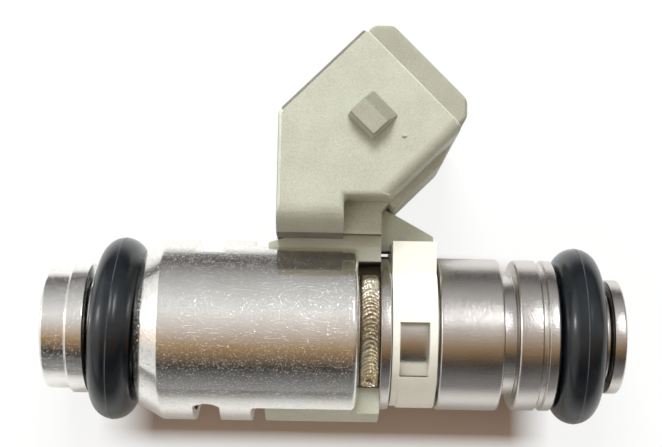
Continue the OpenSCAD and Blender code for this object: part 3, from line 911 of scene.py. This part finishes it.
@dataclass
class Connector:
    """Overmoulded connector (millimetres), measured along the plug direction (s) and square to it (n)."""

    half_w: float = 8.1
    upper: float = 1.2
    lower: float = 12.3
    rim: float = 34.8
    mouth: float = 36.65
    rim_step: float = 0.3
    rim_chamfer: float = 1.1
    socket: tuple[float, float, float] = (26.6, 3.8, 6.5)
    column_x: float = 18.7
    column_y: float = 7.4
    column_end: float = 27.1
    neck_half: float = 4.5
    pocket: Point = (24.0, 10.3)
    pad: tuple[float, float, float, float] = (26.9, 32.4, 34.2, 12.95)
    pad_half: float = 3.5
    foot: tuple[float, float, float, float] = (18.0, 20.2, 27.15, 7.7)
    tail_y: float = 5.6
    foot_half: float = 3.25
    strip: Point = (18.0, 3.75)
    cover_r: float = 6.6
    inner_r: float = 5.9
    flat_y: float = 6.1
    fillet: float = 1.15
    edge_shares: tuple[float, float, float, float] = (0.35, 0.4, 0.13, 0.36)
    nub: tuple[float, float, float] = (30.9, 9.6, 0.17)
    undercut: Point = (2.3, 0.7)
    latch_base: tuple[float, float, float, float] = (28.8, 31.95, 5.25, 8.15)
    latch_top: Point = (29.0, 30.6)
    latch_rise: float = 1.25
    latch_draft: float = 0.12
    web: tuple[tuple[float, ...], ...] = (
        (26.3, 10.7), (27.5, 10.2, 0.4), (31.55, 7.96, 0.15), (31.55, 7.25), (28.05, 7.25), (28.05, 6.65),
        (26.3, 6.65))
    web_half: float = 1.1
    shell_end: float = 25.3
    strip_r: float = 7.38
    strip_inner_r: float = 5.6

    def at(self, s: float, n: float, *radius: float) -> tuple[float, ...]:
        """Point in the symmetry plane from plug coordinates, with an optional corner radius."""
        c = math.sqrt(0.5)
        return (c * (s + n), c * (s - n), *radius)

    def shroud(self) -> Piece:
        """Wide block with a soft lower edge, the narrow neck below it and the stepped mouth rim."""
        diagonal = self.lower * math.sqrt(2)
        pocket_x, pocket_y = self.pocket
        corner_share, pocket_share, mouth_share, outer_share = self.edge_shares
        body = prism("connector", [
            (self.column_x, self.column_y), (self.column_x, self.column_x - self.upper * math.sqrt(2)),
            self.at(self.rim, self.upper), self.at(self.rim, self.lower), (pocket_y + diagonal, pocket_y),
            (pocket_x, pocket_y), (pocket_x, self.column_y)], -self.half_w, self.half_w)

        def weight(a: Vector, b: Vector) -> float:
            """Bevel weight of an edge from where it lies."""
            if abs(a.z - b.z) > 0.01:
                return corner_share if min(a.x, a.y) > self.column_y + 1 else 0.0
            if min(a.x - a.y, b.x - b.y) > diagonal - 0.05:
                return 1.0
            off_y, off_x = (max(abs(v) for v in pair) for pair in (
                (a.y - pocket_y, b.y - pocket_y), (a.x - pocket_x, b.x - pocket_x)))
            if min(off_y, off_x) < 0.05:
                return pocket_share
            if min(a.x + a.y, b.x + b.y) > self.rim * math.sqrt(2) - 0.05:
                return mouth_share
            return 0.0 if max(a.y, b.y) < self.column_y + 0.05 else outer_share

        bevel_by_weight(body, self.fillet, weight, 5)
        lower, foot_top = diagonal - 0.02, self.foot[3]
        combine(body, prism("neck", [
            (20, foot_top), (20, 15), (31, 31 - lower), (self.column_end, self.column_end - lower),
            (self.column_end, foot_top)], -self.neck_half, self.neck_half), Cut.ADD)
        top, low = self.upper + self.rim_step, self.lower - self.rim_step
        rim = prism("rim", [
            self.at(self.rim - 1, top), self.at(self.mouth - self.rim_chamfer, top),
            self.at(self.mouth, top + self.rim_chamfer), self.at(self.mouth, low - self.rim_chamfer),
            self.at(self.mouth - self.rim_chamfer, low), self.at(self.rim - 1, low)],
            -self.half_w + self.rim_step, self.half_w - self.rim_step)
        bevel_by_weight(rim, 0.35, lambda a, b: 1.0, 3)
        combine(body, rim, Cut.ADD)
        clean_bench()
        along, across, nub_r = self.nub
        bpy.ops.mesh.primitive_uv_sphere_add(segments=20, ring_count=12, radius=mm(nub_r), location=[
            mm(v) for v in (*self.at(along, across), self.half_w)], scale=(1.3, 0.9, 0.8))
        nub = bpy.context.object
        settle(nub)
        combine(body, nub, Cut.ADD)
        return body

    def hollow(self, body: Piece) -> None:
        """Cut the socket and the curved underside of the column."""
        depth, half_n, half_z = self.socket
        middle = (self.upper + self.lower) / 2
        combine(body, prism("socket_tool", [
            self.at(depth, middle - half_n, 0.3), self.at(self.mouth + 2, middle - half_n),
            self.at(self.mouth + 2, middle + half_n), self.at(depth, middle + half_n, 0.3)],
            -half_z, half_z), Cut.REMOVE)
        rise, inset = self.undercut
        for side in Side:
            face, inside = side.value * self.half_w, side.value * (self.neck_half + inset)
            curve = [(self.column_y + rise * (1 - math.sin(a)), face + (inside - face) * (1 - math.cos(a)))
                     for a in (math.radians(10 * i) for i in range(10))]
            tool = prism("undercut_tool", [*curve, (self.column_y - 3, inside),
                                           (self.column_y - 3, face + side.value),
                                           (self.column_y + rise, face + side.value)], 10, 32)
            tool.data.transform(Matrix(((0, 0, 1, 0), (1, 0, 0, 0), (0, 1, 0, 0), (0, 0, 0, 1))))
            combine(body, tool, Cut.REMOVE)

    def latch(self, side: Side) -> Piece:
        """Wedge that the plug's spring clip snaps over."""
        base, top = self.half_w - 0.3, self.half_w + self.latch_rise
        low_s, high_s, low_n, high_n = self.latch_base
        wedge = prism("latch", [self.at(low_s, low_n), self.at(high_s, low_n), self.at(high_s, high_n),
                                self.at(low_s, high_n)], base, top)
        for vertex in wedge.data.vertices:
            if vertex.co.z > mm(base + 0.5):
                s = (vertex.co.x + vertex.co.y) * 1000 * math.sqrt(0.5)
                n = (vertex.co.x - vertex.co.y) * 1000 * math.sqrt(0.5)
                s = self.latch_top[1 if s > (low_s + high_s) / 2 else 0]
                n += self.latch_draft if n < (low_n + high_n) / 2 else -self.latch_draft
                vertex.co.x, vertex.co.y = (mm(v) for v in self.at(s, n))
        soften(wedge, 0.14, 3, 30)
        if side is Side.LOWER:
            wedge.scale = (1, 1, -1)
            settle(wedge)
            bpy.ops.object.mode_set(mode="EDIT")
            tidy_edit_mesh()
        return wedge

    def extras(self, body: Piece) -> None:
        """Add the underside pad, the web and the latches."""
        start, flat, end, top = self.pad
        pad = prism("pad", [
            self.at(start, self.lower - 1), self.at(start, top, 0.3), self.at(flat, top, 0.8),
            self.at(end, self.lower), self.at(end, self.lower - 1)], -self.pad_half, self.pad_half)
        soften(pad, 0.3, 3, 50)
        web = prism("web", list(self.web), -self.web_half, self.web_half)
        soften(web, 0.1, 2, 50)
        combine(body, pad, Cut.ADD)
        combine(body, web, Cut.ADD)
        for side in Side:
            combine(body, self.latch(side), Cut.ADD)

    def window_foot(self) -> Piece:
        """Foot that fills the housing window under the column."""
        toe, rise, heel, top_y = self.foot
        foot = prism("foot", [
            (toe, 5.95), (toe, 7.0, 0.15), (rise, top_y, 0.4), (heel, top_y, 0.2), (heel, 5.0)],
            -self.foot_half, self.foot_half)
        combine(foot, turned("foot_tool", [
            (17, 1), (17, self.inner_r), (25.2, self.inner_r), (25.2, 5.56), (28, 5.56),
            (28, 1)]), Cut.REMOVE)
        combine(foot, block("tail_tool", (self.shell_end, 4, -5), (29, self.tail_y, 5)), Cut.REMOVE)
        soften(foot, 0.12, 2, 50)
        return foot

    def cover(self) -> list[Piece]:
        """Plastic sleeve seen through the windows, with the strip opposite the connector."""
        sleeve = turned("coil_cover", [
            (9.65, 5.35), (9.65, self.cover_r - 0.01), (23.75, self.cover_r - 0.01), (23.75, self.inner_r),
            (10.8, self.inner_r), (10.8, 5.35)])
        for side in (1, -1):
            low, high = sorted((side * self.flat_y, side * 9))
            combine(sleeve, block("flat_tool", (11.65, low, -9), (self.strip[0], high, 9)), Cut.REMOVE)
        strip = turned("strip", [
            (self.strip[0], self.strip_inner_r), (self.strip[0], self.strip_r, 0.12),
            (self.foot[2], self.strip_r, 0.12), (self.foot[2], self.strip_inner_r)])
        start, half = self.strip
        outline = [(start - 1, half), (self.shell_end, half), (self.shell_end, self.foot_half),
                   (28, self.foot_half)]
        outline += [(x, -z) for x, z in reversed(outline)]
        combine(strip, stand_up(prism("strip_limits", outline, 4, 9)), Cut.KEEP_COMMON)
        soften(strip, 0.1, 2, 50)
        return [sleeve, strip]

    def paint_light_and_shade(self, body: Piece) -> None:
        """Paint a highlight on the mouth and front bevels, darken the mouth rim, and paint shade under the
        column, along the upper bevel and on the latch.
        """
        for finish in (EDGE_HIGHLIGHT, RIM_AND_LATCH_TOP, PAINTED_SHADE, RAMP_SHADE):
            body.data.materials.append(finish.material())
        for face in body.data.polygons:
            middle, tilt = face.center * 1000, abs(face.normal.z)
            on_edge = 0.15 < tilt < 0.97 and abs(middle.z) > self.half_w - 0.35
            by_mouth = abs((middle.x + middle.y) * math.sqrt(0.5) - self.rim) < 0.2
            down_front = middle.x < self.column_x + 0.35 and middle.y > self.column_y + 1.5 and tilt > 0.5
            along, across = ((middle.x + turn * middle.y) * math.sqrt(0.5) for turn in (1, -1))
            # Painted highlight on the bevels at the mouth rim and down the front edge.
            if on_edge and (by_mouth or down_front):
                face.material_index = 1
            # Painted shade on the downward faces under the column.
            elif face.normal.y < -0.97 and middle.y < self.column_y + 2.4:
                face.material_index = 3
            # The mouth rim is darker.
            elif along > self.rim + 0.02:
                face.material_index = 2
            # Painted shade on the latch: darker top facets, darker still on the ramp.
            elif abs(middle.z) > self.half_w + 0.2 and tilt > 0.2:
                face.material_index = 2 if tilt > 0.95 else 4
            # Painted shade along the upper bevel of the front face.
            elif on_edge and across < self.upper + 0.45 and middle.x > self.column_x + 0.4:
                face.material_index = 3

    def build(self) -> list[Piece]:
        """Model the connector and the sleeve under the housing."""
        body = self.shroud()
        self.hollow(body)
        self.extras(body)
        pieces = [body, self.window_foot(), *self.cover()]
        for piece in pieces:
            close_up(piece)
            smooth(piece, 30)
            place(piece, NYLON, BODY, ("connector_moulding",))
        self.paint_light_and_shade(body)
        return pieces


@dataclass
class Insides:
    """CAD nodes that keep their own shape and only take a finish."""

    dressed: dict[Finish, tuple[str, ...]] = field(default_factory=lambda: {
        TURNED: ("orifice_disc", "valve_seat", "valve_ball", "needle_tube", "armature", "guide_sleeve",
                 "pole_core", "return_spring", "spring_adjuster", "yoke_washer"),
        COPPER: ("coil_winding", "coil_leads"),
        BOBBIN: ("bobbin",),
        RUBBER: ("sleeve_seal",),
        TINNED: ("terminal_a", "terminal_b"),
        BRASS: ("filter_collar",),
        CAGE: ("filter_frame",),
        MESH: ("filter_mesh",)})

    def build(self) -> None:
        """Give each node its finish."""
        for finish, nodes in self.dressed.items():
            for node in nodes:
                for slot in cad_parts[node].material_slots:
                    slot.material = finish.material()
                log.info("%s dressed in %s", node, finish.name)


# ---------------------------------------------------------------- studio


@dataclass(frozen=True)
class PaleTable(Finish):
    """White sheet of paper. Beyond its lit middle its mirror image darkens."""

    name: str = "white_paper"
    slot: str = ""
    bleach: float = 0.86

    def shader(self, tree: Tree) -> Socket:
        """Matte white, overexposed but for a painted brown shadow below the body, dull in far mirror
        images.
        """
        place_on = self.coords(tree)
        y = add_node(tree, "ShaderNodeSeparateXYZ", {}, {"Vector": place_on}).outputs["Y"]
        far = add_node(tree, "ShaderNodeValToRGB", {}, {"Fac": self.span(tree, y, -0.12, 0.12, 0, 1)})
        set_ramp(far, [(0.0, linear("888888")), (0.25, linear("A0A0A0")), (0.42, linear("F2F2F2")),
                       (0.6, linear("F2F2F2")), (0.75, linear("666666")), (1.0, linear("555555"))])
        mirror = add_node(tree, "ShaderNodeLightPath").outputs["Is Glossy Ray"]
        x = add_node(tree, "ShaderNodeSeparateXYZ", {}, {"Vector": place_on}).outputs["X"]
        # Mask of the patch below the body where the painted shadow goes.
        below = self.span(tree, y, mm(7.5), mm(5.5), 0, 1)
        edge = self.span(tree, y, mm(-8.4), mm(-10.4), 1, 0.05)
        start = self.span(tree, x, mm(3), mm(8), 0, 1)
        stop = self.span(tree, x, mm(39), mm(42.5), 1, 0)
        shaded = add_node(tree, "ShaderNodeMath", {"operation": "MULTIPLY"}, {0: start, 1: stop})
        for limit in (below, edge):
            shaded = add_node(tree, "ShaderNodeMath", {"operation": "MULTIPLY"}, {
                0: shaded.outputs[0], 1: limit})
        # Painted shadow: the paper turns brown in the patch below the body.
        paper = self.blend(tree, shaded.outputs[0], linear("F4F3F0"), linear("C2AEA0"))
        matte = add_node(tree, "ShaderNodeBsdfPrincipled", {}, {
            "Base Color": self.blend(tree, mirror, paper, far.outputs["Color"]),
            "Roughness": 0.9,
            "Specular IOR Level": 0.1}).outputs["BSDF"]
        looked_at = add_node(tree, "ShaderNodeLightPath").outputs["Is Camera Ray"]
        clear = self.span(tree, shaded.outputs[0], 0, 1, self.bleach, 0)
        burnt_out = add_node(tree, "ShaderNodeMath", {"operation": "MULTIPLY"}, {0: looked_at, 1: clear})
        white = add_node(tree, "ShaderNodeEmission", {}, {"Color": (1, 1, 1, 1)}).outputs["Emission"]
        return add_node(tree, "ShaderNodeMixShader", {}, {
            0: burnt_out.outputs[0], 1: matte, 2: white}).outputs["Shader"]


@dataclass
class Studio:
    """Table, light and camera (millimetres, degrees)."""

    eye: tuple[float, float, float] = (22.33, -4.61, 108.25)
    target: tuple[float, float, float] = (23.06, 9.05, 0.0)
    roll: float = 1.03
    lens: float = 70.7
    rests: tuple[tuple[float, float], ...] = ((5.82, 7.5), (43.26, 7.25))
    latch_corner: tuple[float, float, float] = (25.4, 17.8, -9.35)
    metal: float = 0.7
    lobe_gain: float = 14.0
    lobe_height: tuple[float, ...] = (0.52, 0.572, 0.625)
    lobe_sides: tuple[float, ...] = (0.03, 0.065, 0.1, 0.61, 0.655, 0.70)
    wall_gain: float = 0.7
    wall_from: Point = (-0.55, -0.75)
    lamps: tuple[tuple, ...] = (
        ("window_light", (5, 200, 190), 110, 0.72, "F8FCFF"),
        ("fill", (-60, -120, 220), 120, 0.1, "FFFFFC"))
    room: tuple[tuple[float, str], ...] = (
        (-180, "D0D0D0"), (-90, "888888"), (-50, "333333"), (-25, "8A7050"), (20, "CCCCCC"), (60, "A0A0A0"),
        (95, "555050"), (180, "D0D0D0"))

    def floor_normal(self) -> tuple[Vector, float]:
        """Plane on which the two O-rings and one latch rest.

        Returns:
            Unit normal and the distance of the plane below the origin, in millimetres.
        """
        (x1, r1), (x2, r2) = self.rests
        nx = (r2 - r1) / (x2 - x1)
        drop = r1 - nx * x1
        x, y, z = self.latch_corner
        ny, nz = 0.0, 1.0
        for _ in range(4):
            ny = (-nz * z - drop - nx * x) / y
            nz = math.sqrt(1 - nx * nx - ny * ny)
        return Vector((nx, ny, nz)), drop

    def table(self) -> None:
        """Lay the pale table under the injector."""
        normal, drop = self.floor_normal()
        clean_bench()
        bpy.ops.mesh.primitive_plane_add(size=1.6)
        floor = bpy.context.object
        floor.name = "table"
        turn = Vector((0, 0, 1)).rotation_difference(normal).to_matrix().to_4x4()
        floor.data.transform(Matrix.Translation(normal * -mm(drop + 0.02)) @ turn)
        floor.data.materials.append(PaleTable().material())

    def lamp(self, name: str, place_at: tuple[float, float, float], size: float, power: float,
             colour: str) -> None:
        """Add a soft square lamp aimed at the injector.

        Args:
            name: Name of the lamp.
            place_at: Where it hangs, in millimetres.
            size: Edge of the lamp, in millimetres.
            power: Watts.
            colour: sRGB hex value.
        """
        data = bpy.data.lights.new(name, "AREA")
        data.shape = "SQUARE"
        data.size = mm(size)
        data.energy = power
        data.color = linear(colour)[:3]
        lamp = bpy.data.objects.new(name, data)
        bpy.context.scene.collection.objects.link(lamp)
        lamp.location = [mm(v) for v in place_at]
        aim = Vector([mm(v) for v in self.target]) - lamp.location
        lamp.rotation_euler = aim.to_track_quat("-Z", "Y").to_euler()
        lamp.visible_glossy = False

    def sky(self) -> None:
        """Room round the bench: grey wall, dark gap, wooden front, window, ceiling and a dark shelf."""
        world = bpy.data.worlds.new("room")
        bpy.context.scene.world = world
        world.use_nodes = True
        tree = world.node_tree
        tree.nodes.clear()
        way = add_node(tree, "ShaderNodeTexCoord").outputs["Generated"]
        parts = add_node(tree, "ShaderNodeSeparateXYZ", {}, {"Vector": way}).outputs
        angle = add_node(tree, "ShaderNodeMath", {"operation": "ARCTAN2"}, {0: parts["Y"], 1: parts["Z"]})
        turn = add_node(tree, "ShaderNodeMapRange", {}, {
            "Value": angle.outputs[0], "From Min": -math.pi, "From Max": math.pi})
        ramp = add_node(tree, "ShaderNodeValToRGB", {}, {"Fac": turn.outputs["Result"]})
        stops = []
        for degrees, tone in self.room:
            red, green, blue, alpha = linear(tone)
            colour = (red / self.metal, green / self.metal, blue / self.metal, alpha)
            stops.append(((degrees + 180) / 360, colour))
        set_ramp(ramp, stops)
        dark, light = (0, 0, 0, 1), (1, 1, 1, 1)
        height = add_node(tree, "ShaderNodeValToRGB", {}, {"Fac": turn.outputs["Result"]})
        set_ramp(height, list(zip(self.lobe_height, (dark, light, dark))))
        sideways = add_node(tree, "ShaderNodeMapRange", {}, {
            "Value": parts["X"], "From Min": -1, "From Max": 1})
        lobes = add_node(tree, "ShaderNodeValToRGB", {}, {"Fac": sideways.outputs["Result"]})
        set_ramp(lobes, list(zip(self.lobe_sides, (dark, light, dark) * 2)))
        for node in (height, lobes):
            node.color_ramp.interpolation = "EASE"
        spot = add_node(tree, "ShaderNodeMath", {"operation": "MULTIPLY"}, {
            0: height.outputs["Color"], 1: lobes.outputs["Color"]})
        gain = add_node(tree, "ShaderNodeMath", {"operation": "MULTIPLY"}, {
            0: spot.outputs[0], 1: self.lobe_gain})
        wall = add_node(tree, "ShaderNodeMapRange", {}, {
            "Value": parts["X"], "From Min": self.wall_from[0], "From Max": self.wall_from[1],
            "To Min": 0, "To Max": self.wall_gain})
        bright = add_node(tree, "ShaderNodeMath", {"operation": "ADD"}, {
            0: gain.outputs[0], 1: wall.outputs["Result"]})
        mirrored = add_node(tree, "ShaderNodeVectorMath", {"operation": "ADD"}, {
            0: ramp.outputs["Color"], 1: bright.outputs[0]})
        path = add_node(tree, "ShaderNodeLightPath").outputs
        soft = add_node(tree, "ShaderNodeMix", {"data_type": "RGBA"}, {
            0: path["Is Glossy Ray"], 6: ramp.outputs["Color"], 7: mirrored.outputs[0]})
        seen = add_node(tree, "ShaderNodeMix", {"data_type": "RGBA"}, {
            0: path["Is Camera Ray"], 6: soft.outputs[2], 7: (1, 1, 1, 1)})
        glow = add_node(tree, "ShaderNodeBackground", {}, {"Color": seen.outputs[2]})
        out = add_node(tree, "ShaderNodeOutputWorld")
        tree.links.new(glow.outputs[0], out.inputs["Surface"])

    def camera(self) -> None:
        """Set the camera above the injector."""
        eye, target = (Vector([mm(v) for v in p]) for p in (self.eye, self.target))
        forward = (target - eye).normalized()
        right = forward.cross(Vector((0, 1, 0))).normalized()
        up = right.cross(forward)
        roll = math.radians(self.roll)
        image_right = right * math.cos(roll) + up * math.sin(roll)
        image_up = up * math.cos(roll) - right * math.sin(roll)
        data = bpy.data.cameras.new("camera")
        data.lens = self.lens
        data.clip_start = 0.001
        camera = bpy.data.objects.new("camera", data)
        bpy.context.scene.collection.objects.link(camera)
        turn = Matrix((image_right, image_up, -forward)).transposed().to_4x4()
        camera.matrix_world = Matrix.Translation(eye) @ turn
        bpy.context.scene.camera = camera

    def build(self) -> None:
        """Set up the table, the lamps, the room and the camera."""
        self.table()
        for lamp in self.lamps:
            self.lamp(*lamp)
        self.sky()
        self.camera()
        bpy.context.scene.view_settings.view_transform = "Standard"


def main() -> None:
    """Build every piece in order."""
    logging.basicConfig(level=logging.INFO, format="%(name)s: %(message)s")
    NozzleEnd().build()
    Housing().build()
    InletTube().build()
    WeldSeams().build()
    LocatingRing().build()
    ORing("nozzle_seal", "nozzle_o_ring", 5.82, 15.0, lean=-3.0).build()
    ORing("inlet_seal", "inlet_o_ring", 43.26, 14.5).build()
    Connector().build()
    Insides().build()
    Studio().build()


if __name__ == "__main__":
    main()
